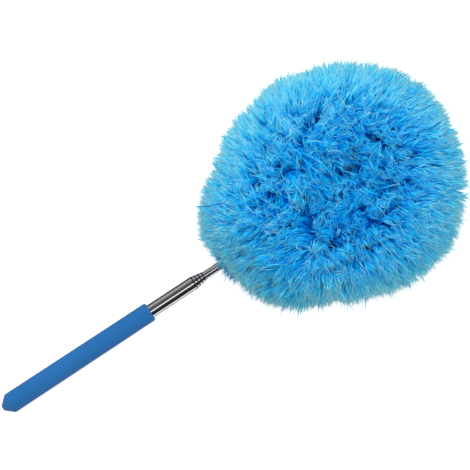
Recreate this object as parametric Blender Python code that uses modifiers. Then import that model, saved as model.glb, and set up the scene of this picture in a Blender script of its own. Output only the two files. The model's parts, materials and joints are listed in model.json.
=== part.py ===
"""Extendable duster: a five-section telescopic pole with a soft grip, and a bendable microfibre head bent into a loop.

Metres, +Z up. The duster lies on the floor, Z = 0. The pole's axis runs along +X at the height of the grip's
radius, and the head's loop lies level in front of it. The origin is on the floor, midway along the duster.
Places along the pole are counted from the butt face and turned into X by the function place().
"""

import math
import random

import bmesh
import bpy
from mathutils import Matrix, Vector

# Grip
grip_length = 0.1775
grip_butt_radius = 0.0106
grip_front_radius = 0.01005
grip_tip_radius = 0.0026
grip_cone_length = 0.0088
grip_shoulder_rounding = 0.004
grip_front_rounding = 0.0015
grip_tip_rounding = 0.0009
grip_bore_clearance = 0.0003
grip_end_wall = 0.0143
grip_mouth_chamfer = 0.0005

# Telescopic tubes
tube_radius = 0.0071
tube_wall = 0.0003
bore_clearance = 0.0004
mouth_clearance = 0.00015
mouth_length = 0.0016
mouth_slope = 0.0008
mouth_step = 0.0037
outer_tube_show = 0.0535
thin_tube_show = 0.0209
section_count = 5

# Tail of each inner tube, with its friction sleeve and plug
tail_length = 0.011
tail_drop = 0.0003
tail_slope = 0.0008
nest_gap = 0.001
sleeve_bore_gap = 0.0002
sleeve_clearance = 0.00012
sleeve_end_drop = 0.00018
sleeve_end_gap = 0.0005
sleeve_slit = 0.001
sleeve_slot_width = 0.0007
plug_flange_thickness = 0.0008
plug_flange_gap = 0.0003
plug_seat_gap = 0.0002
plug_length = 0.006
plug_vent_radius = 0.001
butt_plug_length = 0.008
butt_plug_flange = 0.0011
butt_plug_recess = 0.0045

# Front end of the thin tube, where the head screws on
stud_radius = 0.0022
stud_length = 0.0092
stud_chamfer = 0.0005
tip_plug_length = 0.010
ferrule_radius = 0.0054
ferrule_length = 0.0177
ferrule_collar_radius = 0.0049
ferrule_collar_length = 0.005
ferrule_rounding = 0.0007
ferrule_end_gap = 0.0003
nut_radius = 0.0035
nut_length = 0.0082
nut_groove_depth = 0.0004
nut_groove_width = 0.0016
thread_gap = 0.0003
neck_ball_radius = 0.0036
neck_cup_gap = 0.0003

# Bendable spine of the head
wire_radius = 0.0015
wire_seat_gap = 0.0002
wire_start = 0.0008
spine_sleeve_radius = 0.0036
spine_sleeve_wall = 0.0018
spine_sleeve_start = 0.009
loop_centre_reach = 0.1205
loop_half_length = 0.0735
loop_half_width = 0.063
loop_height = 0.050
loop_join_angle = 50.0
loop_end_angle = 324.0
neck_handle = 0.040
join_handle = 0.030
tip_cap_length = 0.009
tip_cap_radius = 0.0046
tip_cap_gap = 0.0003

# Fibre covers: slices of woven backing, each with its strands
cover_count = 9
rows_per_cover = 4
strands_around = 12
cover_start = 0.0125
cover_end_margin = 0.0015
cover_gap = 0.0003
backing_gap = 0.0004
backing_wall = 0.0013
pile_length = 0.0645
pile_reach = 0.062
strand_half_width = 0.0028
blunt_half_width = 0.0017
flat_depth = 0.0005
strand_middle_share = 0.5
strand_fill_share = 0.34
strand_length_spread_share = 0.07
strand_bend_share = 0.16
inner_reach_share = 0.92
least_squeeze_share = 0.1
own_stretch = 0.03
back_lean = 38.0
front_lean = 52.0
lean_rows = 3
fibre_seed = 7

# Facets
tube_segments = 24
grip_segments = 36
small_segments = 18
wire_sides = 6
sleeve_sides = 8
round_steps = 3
lip_steps = 2
neck_steps = 60
loop_steps = 240
line_stride = 6

overrun = 0.001
merge_distance = 0.00001


def unit(value):
    """A vector's direction."""
    return value.normalized()


outer_front = grip_length + outer_tube_show
thin_front = outer_front + mouth_step * (section_count - 2) + thin_tube_show
neck_pivot = thin_front + ferrule_end_gap + ferrule_length
loop_centre = neck_pivot + loop_centre_reach
overall_length = loop_centre + loop_half_length + pile_reach
axis_height = grip_butt_radius
outer_tail = grip_end_wall + butt_plug_flange + 2 * plug_flange_gap
tube_pitch = tube_wall + bore_clearance
backing_radius = spine_sleeve_radius + backing_gap + backing_wall


def place(along):
    """X of a place that lies this far from the butt face."""
    return along - overall_length / 2


def radius_of(section):
    """Outer radius of a section's tube. Section 1 is the outer tube."""
    return tube_radius - tube_pitch * (section - 1)


def front_of(section):
    """Where a section's tube ends, with the pole pushed in."""
    if section == section_count:
        return thin_front
    return outer_front + mouth_step * (section - 1)


def tail_of(section):
    """Where a section's tube starts, with the pole pushed in."""
    if section == 1:
        return outer_tail
    if section == 2:
        return outer_tail + butt_plug_length + nest_gap + plug_flange_thickness + plug_flange_gap
    behind = tail_of(section - 1) + tail_length + tail_slope
    return behind + nest_gap + plug_flange_thickness + plug_flange_gap


def travel_of(section):
    """How far a section slides out before its friction sleeve meets the mouth around it."""
    stop = front_of(section - 1) - mouth_length - mouth_slope - mouth_clearance
    return stop - (tail_of(section) + tail_length - sleeve_end_gap)


def start_scene():
    """Clears the scene and returns the collections for the parts and the cutters."""
    for old in list(bpy.data.objects):
        bpy.data.objects.remove(old, do_unlink=True)
    parts = bpy.data.collections.new("extendable_duster")
    cutters = bpy.data.collections.new("cutters")
    bpy.context.scene.collection.children.link(parts)
    bpy.context.scene.collection.children.link(cutters)
    return parts, cutters


parts, cutters = start_scene()


def material(name, colour, roughness, metallic=0.0):
    """A Principled material."""
    made = bpy.data.materials.new(name)
    made.use_nodes = True
    shader = made.node_tree.nodes["Principled BSDF"]
    shader.inputs["Base Color"].default_value = (*colour, 1.0)
    shader.inputs["Roughness"].default_value = roughness
    shader.inputs["Metallic"].default_value = metallic
    return made


def body_frame(name, along):
    """An empty on the pole's axis that carries one body."""
    empty = bpy.data.objects.new(name, None)
    empty.location = (place(along), 0, axis_height)
    empty.empty_display_size = tube_radius
    parts.objects.link(empty)
    return empty


def baked(obj, smooth_angle=40.0):
    """Turns an object and its modifiers into one plain, smooth-shaded mesh object of the same name."""
    bpy.context.view_layer.update()
    mesh = bpy.data.meshes.new_from_object(obj.evaluated_get(bpy.context.evaluated_depsgraph_get()))
    work = bmesh.new()
    work.from_mesh(mesh)
    bmesh.ops.remove_doubles(work, verts=work.verts, dist=merge_distance)
    work.to_mesh(mesh)
    work.free()
    name, parent, matrix = obj.name, obj.parent, obj.matrix_world.copy()
    materials = [slot.material for slot in obj.material_slots]
    bpy.data.objects.remove(obj, do_unlink=True)
    mesh.name = name
    mesh.materials.clear()
    for used in materials:
        mesh.materials.append(used)
    mesh.shade_smooth()
    mesh.set_sharp_from_angle(angle=math.radians(smooth_angle))
    made = bpy.data.objects.new(name, mesh)
    parts.objects.link(made)
    made.parent = parent
    made.matrix_world = matrix
    return made


def rounded(corners, steps):
    """Profile points from (along, radius, rounding) corners, each rounding drawn as an arc."""
    points = []
    count = len(corners)
    for index, (along, radius, rounding) in enumerate(corners):
        corner = Vector((along, radius))
        if not rounding:
            points.append(corner)
            continue
        before = unit(Vector(corners[index - 1][:2]) - corner)
        after = unit(Vector(corners[(index + 1) % count][:2]) - corner)
        half = before.angle(after) / 2
        reach = rounding / math.tan(half)
        centre = corner + unit(before + after) * (rounding / math.sin(half))
        start = corner + before * reach - centre
        end = corner + after * reach - centre
        turn = start.angle_signed(end)
        for step in range(steps + 1):
            points.append(centre + Matrix.Rotation(-turn * step / steps, 2) @ start)
    return [(point.x, point.y) for point in points]


def turned(name, corners, frame, used, segments=tube_segments, steps=round_steps, axis=None):
    """A body turned about the pole's axis from a closed profile, or from one that starts and ends on the axis.

    The profile's places along the pole are counted from the butt face, unless it's turned about another axis.
    """
    profile = rounded(corners, steps)
    solid = not profile[0][1] and not profile[-1][1]
    mesh = bpy.data.meshes.new(name)
    points = [(radius, 0, along) for along, radius in profile]
    links = [(i, i + 1) for i in range(len(points) - 1)]
    if not solid:
        links.append((len(points) - 1, 0))
    mesh.from_pydata(points, links, [])
    mesh.materials.append(used)
    obj = bpy.data.objects.new(name, mesh)
    parts.objects.link(obj)
    screw = obj.modifiers.new("Turn", "SCREW")
    screw.axis = "Z"
    screw.angle = math.tau
    screw.steps = segments
    screw.render_steps = segments
    screw.use_merge_vertices = True
    screw.merge_threshold = merge_distance
    screw.use_normal_flip = True
    obj.parent = frame
    pole = Matrix.Translation((place(0), 0, axis_height)) @ Matrix.Rotation(math.radians(90), 4, "Y")
    obj.matrix_world = axis or pole
    return baked(obj)


def box_cutter(name, centre, size, turn=0.0):
    """A hidden box for a Boolean. It is turned about the pole's axis."""
    mesh = bpy.data.meshes.new(name)
    work = bmesh.new()
    bmesh.ops.create_cube(work, size=1.0)
    bmesh.ops.scale(work, vec=size, verts=work.verts)
    bmesh.ops.translate(work, vec=centre, verts=work.verts)
    bmesh.ops.rotate(work, matrix=Matrix.Rotation(turn, 3, "X"), verts=work.verts)
    work.to_mesh(mesh)
    work.free()
    cutter = bpy.data.objects.new(name, mesh)
    cutter.location = (0, 0, axis_height)
    cutter.hide_render = True
    cutter.display_type = "WIRE"
    cutters.objects.link(cutter)
    return cutter


def cut(obj, cutter):
    """Takes a cutter out of a body."""
    boolean = obj.modifiers.new("Cut", "BOOLEAN")
    boolean.operation = "DIFFERENCE"
    boolean.solver = "EXACT"
    boolean.object = cutter


def make_grip(frame, used):
    """Soft grip: a slightly tapered sleeve with a closed conical butt."""
    bore = tube_radius + grip_bore_clearance
    turned(
        "grip_sleeve",
        [
            (0, 0, 0),
            (0, grip_tip_radius, grip_tip_rounding),
            (grip_cone_length, grip_butt_radius, grip_shoulder_rounding),
            (grip_length, grip_front_radius, grip_front_rounding),
            (grip_length, bore + grip_mouth_chamfer, 0),
            (grip_length - grip_mouth_chamfer, bore, 0),
            (grip_end_wall, bore, 0),
            (grip_end_wall, 0, 0),
        ],
        frame,
        used,
        grip_segments,
    )


def mouth(section):
    """The drawn-in mouth of a tube, from its full outer radius round the lip to its bore."""
    front = front_of(section)
    outside = radius_of(section)
    guide = radius_of(section + 1) + mouth_clearance
    lip = guide + tube_wall
    return [
        (front - mouth_length - mouth_slope, outside, 0),
        (front - mouth_length, lip, 0),
        (front, lip, tube_wall / 2),
        (front, guide, 0),
        (front - mouth_length, guide, 0),
        (front - mouth_length - mouth_slope, outside - tube_wall, 0),
    ]


def make_outer_tube(frame, chrome, plastic):
    """The fixed tube, half of it in the grip, and the plug that closes its tail."""
    inside = tube_radius - tube_wall
    turned(
        "outer_tube",
        [(outer_tail, inside, 0), (outer_tail, tube_radius, 0)] + mouth(1),
        frame,
        chrome,
        steps=lip_steps,
    )
    body = inside - plug_seat_gap
    back = outer_tail - plug_flange_gap
    turned(
        "butt_plug",
        [
            (back - butt_plug_flange, 0, 0),
            (back - butt_plug_flange, tube_radius, 0),
            (back, tube_radius, 0),
            (back, body, 0),
            (outer_tail + butt_plug_length, body, 0),
            (outer_tail + butt_plug_length, butt_plug_recess, 0),
            (outer_tail, butt_plug_recess, 0),
            (outer_tail, 0, 0),
        ],
        frame,
        plastic,
        small_segments,
    )


def make_inner_tube(section, frame, chrome):
    """A sliding tube: a drawn-in tail for the friction sleeve, a straight run and a drawn-in mouth."""
    outside = radius_of(section)
    start = tail_of(section)
    shoulder = start + tail_length
    tail = outside - tail_drop
    front = [(front_of(section), outside, 0), (front_of(section), outside - tube_wall, 0)]
    if section < section_count:
        front = mouth(section)
    turned(
        f"tube_{section}",
        [
            (start, tail - tube_wall, 0),
            (start, tail, 0),
            (shoulder, tail, 0),
            (shoulder + tail_slope, outside, 0),
            *front,
            (shoulder + tail_slope, outside - tube_wall, 0),
            (shoulder, tail - tube_wall, 0),
        ],
        frame,
        chrome,
        steps=lip_steps,
    )


def make_friction_sleeve(section, frame, bronze):
    """A split, crowned bronze sleeve on the tube's tail, which rubs in the tube around it."""
    start = tail_of(section) + sleeve_end_gap
    end = tail_of(section) + tail_length - sleeve_end_gap
    bore = radius_of(section) - tail_drop + sleeve_bore_gap
    crown = radius_of(section) + bore_clearance - sleeve_clearance
    edge = crown - sleeve_end_drop
    length = end - start
    sleeve = turned(
        f"friction_sleeve_{section}",
        [
            (start, bore, 0),
            (start, edge, 0),
            (start + length / 3, crown, 0),
            (end - length / 3, crown, 0),
            (end, edge, 0),
            (end, bore, 0),
        ],
        frame,
        bronze,
    )
    middle = place((start + end) / 2)
    slit = box_cutter(
        f"slit_{section}",
        (middle, 0, crown),
        (length + overrun, sleeve_slit, crown),
    )
    cut(sleeve, slit)
    for side in (-1, 1):
        slot = box_cutter(
            f"slot_{section}_{side}",
            (middle + side * length / 4, 0, crown),
            (length / 2 + overrun, sleeve_slot_width, crown),
            side * math.radians(120),
        )
        cut(sleeve, slot)
    baked(sleeve)


def make_tail_plug(section, frame, plastic):
    """A flanged plug that keeps the friction sleeve on the tube's tail."""
    start = tail_of(section) - plug_flange_gap
    rim = radius_of(section) + bore_clearance - plug_flange_gap
    body = radius_of(section) - tail_drop - tube_wall - plug_seat_gap
    turned(
        f"tail_plug_{section}",
        [
            (start - plug_flange_thickness, plug_vent_radius, 0),
            (start - plug_flange_thickness, rim, 0),
            (start, rim, 0),
            (start, body, 0),
            (start + plug_length, body, 0),
            (start + plug_length, plug_vent_radius, 0),
        ],
        frame,
        plastic,
        small_segments,
    )


def make_neck(frame, steel, brass, plastic):
    """The threaded stud in the thin tube, the ferrule that screws onto it, and the nut moulded in the ferrule."""
    bore = radius_of(section_count) - tube_wall
    shoulder = thin_front - ferrule_end_gap
    turned(
        "tip_plug",
        [
            (shoulder - tip_plug_length, 0, 0),
            (shoulder - tip_plug_length, bore - plug_seat_gap, 0),
            (shoulder, bore - plug_seat_gap, 0),
            (shoulder, stud_radius, 0),
            (shoulder + stud_length - stud_chamfer, stud_radius, 0),
            (shoulder + stud_length, stud_radius - stud_chamfer, 0),
            (shoulder + stud_length, 0, 0),
        ],
        frame,
        steel,
        small_segments,
    )
    start = thin_front + ferrule_end_gap
    hole = stud_radius + thread_gap
    groove = nut_radius - nut_groove_depth
    middle = start + nut_length / 2
    turned(
        "ferrule_nut",
        [
            (start, hole, 0),
            (start, nut_radius, 0),
            (middle - nut_groove_width, nut_radius, 0),
            (middle - nut_groove_width / 2, groove, 0),
            (middle + nut_groove_width / 2, groove, 0),
            (middle + nut_groove_width, nut_radius, 0),
            (start + nut_length, nut_radius, 0),
            (start + nut_length, hole, 0),
        ],
        frame,
        brass,
        small_segments,
    )
    pocket = nut_radius + plug_seat_gap
    floor = start + max(nut_length, stud_length - 2 * ferrule_end_gap) + thread_gap
    cup = neck_ball_radius + neck_cup_gap
    bowl = [
        (neck_pivot - cup * math.sin(turn), cup * math.cos(turn), 0)
        for turn in (math.radians(90) * step / round_steps for step in range(round_steps))
    ]
    turned(
        "head_ferrule",
        [
            (floor, 0, 0),
            (floor, pocket, 0),
            (start, pocket, 0),
            (start, ferrule_collar_radius, 0),
            (start + ferrule_collar_length, ferrule_collar_radius, 0),
            (start + ferrule_collar_length, ferrule_radius, ferrule_rounding),
            (neck_pivot, ferrule_radius, ferrule_rounding),
            *bowl,
            (neck_pivot - cup, 0, 0),
        ],
        frame,
        plastic,
        small_segments,
    )


def on_loop(angle):
    """A point of the head's loop. The angle starts at the side that faces the pole."""
    turn = math.radians(angle)
    along = place(loop_centre) - loop_half_length * math.cos(turn)
    return Vector((along, loop_half_width * math.sin(turn), loop_height))


def spine_line():
    """Close points of the spine, from the neck's pivot through the rise to the loop's free end."""
    start = Vector((place(neck_pivot), 0, axis_height))
    join = on_loop(loop_join_angle)
    ahead = unit(on_loop(loop_join_angle + 1) - join)
    first = start + Vector((neck_handle, 0, 0))
    second = join - ahead * join_handle
    points = []
    for step in range(neck_steps):
        t = step / neck_steps
        points.append(
            start * (1 - t) ** 3
            + first * 3 * t * (1 - t) ** 2
            + second * 3 * t**2 * (1 - t)
            + join * t**3
        )
    span = loop_end_angle - loop_join_angle
    points += [on_loop(loop_join_angle + span * step / loop_steps) for step in range(loop_steps + 1)]
    return points


spine = spine_line()
spine_reach = [0.0]
for before, after in zip(spine, spine[1:]):
    spine_reach.append(spine_reach[-1] + (after - before).length)
spine_length = spine_reach[-1]


def on_spine(reach):
    """The spine's point this far along it from the neck's pivot, and its direction there."""
    index = 1
    while index < len(spine) - 1 and spine_reach[index] < reach:
        index += 1
    before, after = spine[index - 1], spine[index]
    share = (reach - spine_reach[index - 1]) / (spine_reach[index] - spine_reach[index - 1])
    return before.lerp(after, share), unit(after - before)


def foot_on_spine(point):
    """How far along the spine its nearest point to this one lies."""
    best = min(range(len(spine)), key=lambda index: (spine[index] - point).length_squared)
    low, high = max(best - 1, 0), min(best + 1, len(spine) - 1)
    chord = spine[high] - spine[low]
    share = (point - spine[low]).dot(chord) / chord.length_squared
    share = min(max(share, 0.0), 1.0)
    return spine_reach[low] + share * (spine_reach[high] - spine_reach[low])


def spine_tube(name, reaches, radius, frame, used, sides, wall=0.0):
    """A round wire along the spine, or a sleeve if it has a wall."""
    curve = bpy.data.curves.new(name, "CURVE")
    curve.dimensions = "3D"
    curve.bevel_depth = radius
    curve.bevel_resolution = sides // 2 - 2
    curve.use_fill_caps = not wall
    line = curve.splines.new("POLY")
    line.points.add(len(reaches) - 1)
    for point, reach in zip(line.points, reaches):
        point.co = (*on_spine(reach)[0], 1.0)
    curve.materials.append(used)
    obj = bpy.data.objects.new(name, curve)
    parts.objects.link(obj)
    bpy.context.view_layer.update()
    obj.parent = frame
    obj.matrix_parent_inverse = frame.matrix_world.inverted()
    if wall:
        shell = obj.modifiers.new("Wall", "SOLIDIFY")
        shell.thickness = wall
        shell.offset = -1.0
    return baked(obj, 60.0)


cover_end = spine_length - cover_end_margin
row_length = (cover_end - cover_start) / (cover_count * rows_per_cover)


def cover_stations(cover):
    """Where the rows of one cover begin and end along the spine."""
    first = cover_start + cover * rows_per_cover * row_length
    stations = [first + row * row_length for row in range(rows_per_cover + 1)]
    stations[0] += cover_gap / 2
    stations[-1] -= cover_gap / 2
    return stations


def lean_of(reach, outward):
    """How far a strand leans along the spine: back beside the neck, forward at the free end."""
    row = (reach - cover_start) / row_length
    back = max(0.0, 1 - row / lean_rows) * abs(outward.y)
    front = max(0.0, 1 - (cover_count * rows_per_cover - row) / lean_rows)
    return math.radians(front * front_lean - back * back_lean)


def clear_length(reach, foot, outward, way):
    """How long a strand may be: to the pile's edge, the head's outline or halfway to another stretch of spine."""
    longest = pile_length
    for other_reach, other in list(zip(spine_reach, spine))[::line_stride]:
        towards = other - foot
        apart = abs(other_reach - reach)
        ahead = towards.dot(way if apart > own_stretch else outward)
        if ahead > merge_distance and apart > row_length / 2:
            longest = min(longest, inner_reach_share * towards.length_squared / (2 * ahead))
    half_x = loop_half_length + pile_reach
    half_y = loop_half_width + pile_reach
    x, y = (foot.x - place(loop_centre)) / half_x, foot.y / half_y
    dx, dy = way.x / half_x, way.y / half_y
    flat = dx * dx + dy * dy
    inward = x * dx + y * dy
    room = inward * inward - flat * (x * x + y * y - 1)
    if flat > merge_distance and room > 0:
        longest = min(longest, (math.sqrt(room) - inward) / flat)
    return longest


def strand(face, dice):
    """The plan of the strand that grows from one face of the backing: foot, direction, length and sideways bend."""
    centre = face.calc_center_median()
    reach = foot_on_spine(centre)
    foot, along = on_spine(reach)
    outward = unit((centre - foot) - along * (centre - foot).dot(along))
    lean = lean_of(reach, outward)
    way = unit(outward * math.cos(lean) + along * math.sin(lean))
    length = clear_length(reach, foot, outward, way) * (1 - strand_length_spread_share * dice.random())
    touches = way.z < 0 and foot.z + way.z * length < flat_depth
    if touches:
        length = (foot.z + flat_depth) / -way.z
    middle = foot + way * length * strand_middle_share
    along_room, round_room = row_room(foot, along, middle)
    first = unit(along - way * along.dot(way))
    bend = first * along_room * (dice.random() - 0.5) + way.cross(first) * round_room * (dice.random() - 0.5)
    return foot, way, length, bend * strand_bend_share, touches


def row_room(foot, along, middle):
    """The room beside a strand at its middle, along the spine and round it."""
    out = (middle - foot - along * (middle - foot).dot(along)).length
    ahead = on_spine(min(foot_on_spine(foot) + row_length, spine_length))[1]
    turn = unit(ahead) - unit(along)
    squeeze = 1 - (middle - foot).dot(turn) / row_length
    return row_length * max(squeeze, least_squeeze_share), math.tau * out / strands_around


def shape_face(face, middle, way, foot, half_width):
    """Makes a face a square across the strand, no wider than its room."""
    reach = foot_on_spine(foot)
    along = on_spine(reach)[1]
    along_room, round_room = row_room(foot, along, middle)
    first = unit(along - way * along.dot(way))
    second = unit(way.cross(first))
    centre = face.calc_center_median()
    for vert in face.verts:
        offset = vert.co - centre
        one = math.copysign(min(half_width, strand_fill_share * along_room), offset.dot(first))
        two = math.copysign(min(half_width, strand_fill_share * round_room), offset.dot(second))
        vert.co = middle + first * one + second * two


def square_ends(work, stations):
    """Squares the end rings of a backing slice to the spine, so that two slices meet face to face."""
    for reach in (stations[0], stations[-1]):
        middle, along = on_spine(reach)
        for vert in work.verts:
            offset = vert.co - middle
            if offset.length < backing_radius + backing_gap and abs(offset.dot(along)) < row_length / 4:
                vert.co -= along * offset.dot(along)


def make_cover(cover, frame, used):
    """One slice of backing with its strands, cut flat where it lies on the floor."""
    obj = spine_tube(
        f"fibre_cover_{cover + 1}",
        cover_stations(cover),
        backing_radius,
        frame,
        used,
        strands_around,
        backing_wall,
    )
    work = bmesh.new()
    work.from_mesh(obj.data)
    work.transform(obj.matrix_world)
    square_ends(work, cover_stations(cover))
    dice = random.Random(fibre_seed + cover)
    outer = []
    for face in work.faces:
        centre = face.calc_center_median()
        foot, along = on_spine(foot_on_spine(centre))
        outward = centre - foot
        off_axis = (outward - along * outward.dot(along)).length
        if off_axis > backing_radius - backing_wall / 2 and abs(unit(outward).dot(face.normal)) > 0.5:
            outer.append(face)
    for face in outer:
        foot, way, length, bend, touches = strand(face, dice)
        face = bmesh.ops.extrude_discrete_faces(work, faces=[face])["faces"][0]
        shape_face(face, foot + way * length * strand_middle_share + bend, way, foot, strand_half_width)
        face = bmesh.ops.extrude_discrete_faces(work, faces=[face])["faces"][0]
        tip = foot + way * length
        if touches:
            shape_face(face, tip, way, foot, blunt_half_width)
        else:
            bmesh.ops.pointmerge(work, verts=face.verts, merge_co=tip)
    floor = work.verts[:] + work.edges[:] + work.faces[:]
    bmesh.ops.bisect_plane(work, geom=floor, plane_co=(0, 0, 0), plane_no=(0, 0, -1), clear_outer=True)
    bmesh.ops.holes_fill(work, edges=[edge for edge in work.edges if edge.is_boundary])
    bmesh.ops.recalc_face_normals(work, faces=work.faces)
    if work.calc_volume(signed=True) < 0:
        bmesh.ops.reverse_faces(work, faces=work.faces)
    work.transform(obj.matrix_world.inverted())
    work.to_mesh(obj.data)
    work.free()
    obj.data.set_sharp_from_angle(angle=math.radians(60))


def make_head(frame, steel, plastic, sleeve, fibre):
    """The bendable head: a ball at the neck, the wire and its sleeve, the end cap and the fibre covers."""
    ball = [
        (neck_pivot - neck_ball_radius * math.cos(turn), neck_ball_radius * math.sin(turn), 0)
        for turn in (math.pi * step / (2 * round_steps) for step in range(2 * round_steps))
    ]
    hole = wire_radius + wire_seat_gap
    mouth_of_ball = neck_pivot + math.sqrt(neck_ball_radius**2 - hole**2)
    turned(
        "neck_ball",
        [
            *[point if point[1] > merge_distance else (point[0], 0, 0) for point in ball],
            (mouth_of_ball, hole, 0),
            (neck_pivot + wire_start - wire_seat_gap, hole, 0),
            (neck_pivot + wire_start - wire_seat_gap, 0, 0),
        ],
        frame,
        plastic,
        small_segments,
    )
    rows = [cover_start + row * row_length for row in range(cover_count * rows_per_cover + 1)]
    stations = [spine_sleeve_start, *rows]
    wire = [wire_start, spine_sleeve_start / 2, *stations, spine_length, spine_length + tip_cap_length / 2]
    spine_tube("spine_wire", wire, wire_radius, frame, steel, wire_sides)
    spine_tube("spine_sleeve", stations, spine_sleeve_radius, frame, sleeve, sleeve_sides, spine_sleeve_wall)
    end, ahead = on_spine(spine_length)
    turned(
        "tip_cap",
        [
            (tip_cap_length / 2 + tip_cap_gap, 0, 0),
            (tip_cap_length / 2 + tip_cap_gap, hole, 0),
            (tip_cap_gap, hole, 0),
            (tip_cap_gap, tip_cap_radius, 0),
            (tip_cap_length / 2, tip_cap_radius, 0),
            (tip_cap_length, tip_cap_radius / 2, tip_cap_radius / 4),
            (tip_cap_length, 0, 0),
        ],
        frame,
        plastic,
        small_segments,
        axis=Matrix.Translation(end) @ ahead.to_track_quat("Z", "X").to_matrix().to_4x4(),
    )
    for cover in range(cover_count):
        make_cover(cover, frame, fibre)


handle_frame = body_frame("handle", 0)
section_frames = {
    section: body_frame(f"section_{section}", tail_of(section)) for section in range(2, section_count + 1)
}
sleeve_frame = body_frame("turning_sleeve", tail_of(section_count))
head_frame = body_frame("head", neck_pivot)
bpy.context.view_layer.update()

grip_blue = material("grip_blue", (0.03, 0.15, 0.36), 0.6)
chrome = material("chrome", (0.78, 0.78, 0.80), 0.12, 1.0)
bronze = material("bronze", (0.62, 0.42, 0.20), 0.35, 1.0)
steel = material("steel", (0.55, 0.55, 0.57), 0.35, 1.0)
white_plastic = material("white_plastic", (0.80, 0.80, 0.78), 0.5)
blue_plastic = material("blue_plastic", (0.02, 0.22, 0.55), 0.35)
black_plastic = material("black_plastic", (0.03, 0.03, 0.035), 0.5)
fibre_blue = material("fibre_blue", (0.03, 0.33, 0.68), 0.9)

make_grip(handle_frame, grip_blue)
make_outer_tube(handle_frame, chrome, white_plastic)
for section, frame in section_frames.items():
    make_inner_tube(section, frame, chrome)
    make_tail_plug(section, frame, white_plastic)
    own = sleeve_frame if section == section_count else frame
    make_friction_sleeve(section, own, bronze)
make_neck(section_frames[section_count], steel, bronze, blue_plastic)
make_head(head_frame, steel, black_plastic, black_plastic, fibre_blue)

for section in range(2, section_count + 1):
    print(f"section {section} slides {travel_of(section):.4f}")
print(f"overall {overall_length:.4f}, pivot x {place(neck_pivot):.4f}, spine {spine_length:.4f}")
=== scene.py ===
"""Looks of the extendable duster: pole, grip, a soft pile of fine strands, materials, light and camera.

Metres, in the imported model's frame. The pole's axis runs along +X, and the head's loop lies level in
front of it. Places along the pole are counted from the butt face, and place() turns them into X.
"""

import json
import math

import bpy
import numpy as np
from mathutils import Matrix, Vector


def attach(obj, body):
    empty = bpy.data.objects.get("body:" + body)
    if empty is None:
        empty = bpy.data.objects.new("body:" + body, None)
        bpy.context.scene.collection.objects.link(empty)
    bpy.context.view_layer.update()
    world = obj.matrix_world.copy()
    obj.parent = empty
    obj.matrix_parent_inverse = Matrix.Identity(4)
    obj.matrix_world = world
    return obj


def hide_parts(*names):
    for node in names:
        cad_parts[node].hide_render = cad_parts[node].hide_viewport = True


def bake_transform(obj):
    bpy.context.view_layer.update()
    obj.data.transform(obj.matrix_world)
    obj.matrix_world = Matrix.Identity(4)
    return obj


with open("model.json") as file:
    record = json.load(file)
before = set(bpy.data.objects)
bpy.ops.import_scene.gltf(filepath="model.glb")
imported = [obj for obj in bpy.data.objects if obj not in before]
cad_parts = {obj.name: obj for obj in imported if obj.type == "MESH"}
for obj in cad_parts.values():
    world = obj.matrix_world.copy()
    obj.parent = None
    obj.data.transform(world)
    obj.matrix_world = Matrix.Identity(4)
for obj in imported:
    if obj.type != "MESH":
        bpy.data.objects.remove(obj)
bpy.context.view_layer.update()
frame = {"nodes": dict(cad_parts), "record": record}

# How finely turned pieces are drawn
sharp_angle = 35.0
turned_sides = 128
arc_steps = 6
grip_sides = 160
grip_arc_steps = 10
bowl_steps = 10
mouth_arc_steps = 8
least_length = 1e-12

# Pole, as in the solids
butt_x = -0.2685
axis_height = 0.0106
grip_length = 0.1775
grip_butt_radius = 0.0106
grip_front_radius = 0.01005
grip_tip_radius = 0.0026
grip_cone_length = 0.0088
grip_shoulder_rounding = 0.004
grip_front_rounding = 0.0021
grip_tip_rounding = 0.0009
grip_bore_clearance = 0.0003
grip_end_wall = 0.0143
grip_mouth_rounding = 0.0005
tube_radius = 0.0071
tube_wall = 0.0003
bore_clearance = 0.0004
mouth_clearance = 0.00015
mouth_arc_radius = 0.0022
mouth_arc_angle = 35.0
mouth_length = 0.0016
mouth_slope = 0.0008
mouth_rounding = 0.00006
mouth_step = 0.0037
# Painted shade on each tube's drawn-in lip, where the next tube slides out
lip_length = 0.0014
lip_blend = 0.0003
lip_fade = 0.006
outer_tube_show = 0.0535
thin_tube_show = 0.0209
outer_tail = 0.0160
section_count = 5
first_tail = 0.0261
tail_pitch = 0.0139
tail_length = 0.011
tail_drop = 0.0003
tail_slope = 0.0008

# Neck, as in the solids
ferrule_end_gap = 0.0003
ferrule_length = 0.0177
ferrule_radius = 0.0054
ferrule_collar_radius = 0.0049
ferrule_collar_length = 0.005
ferrule_rounding = 0.0007
ferrule_rib_depth = 0.0003
ferrule_rib_pitch = 0.0016
ferrule_ribs = 5
rib_lead_share = 2
rib_outline_shares = ((0, 0), (0.25, 1), (0.5, 1), (0.75, 0))
nut_pocket_radius = 0.0037
nut_pocket_depth = 0.0092
neck_cup_radius = 0.0039
neck_x = 0.0125

# Spine of the head, as in the solids
loop_centre_x = 0.133
loop_half_length = 0.0735
loop_half_width = 0.063
loop_height = 0.050
loop_join_angle = 50.0
loop_end_angle = 324.0
neck_handle = 0.040
join_handle = 0.030
small_turn = 1.0
rise_points = 60
loop_points = 241
spine_step = 0.001
backing_radius = 0.0053
backing_rows = 28
backing_sides = 32
cover_count = 9
cover_start = 0.0125
cover_end_margin = 0.0015
cover_gap = 0.0003

# Pile of strands: outer form
pile_reach = 0.062
widest_height = 0.047
crest_height = 0.109
outline_front_length = 0.1375
outline_back_length = 0.150
outline_half_width = 0.1257
outline_centre_y = 0.0025
outline_back_x = -0.0185
outline_power = 8.0
# Swells of the outline, as (direction, how far out, half of its angle)
outline_waves = (
    (48, -0.002, 14), (70, -0.004, 8), (106, -0.004, 10), (134, -0.009, 14),
    (168, 0.008, 12), (181, -0.003, 4), (234, -0.011, 17), (257, -0.004, 10),
    (296, 0.006, 18), (348, -0.003, 14),
)
rim_share = 0.48
crown_power = 2.2
mound_power = 4
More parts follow.
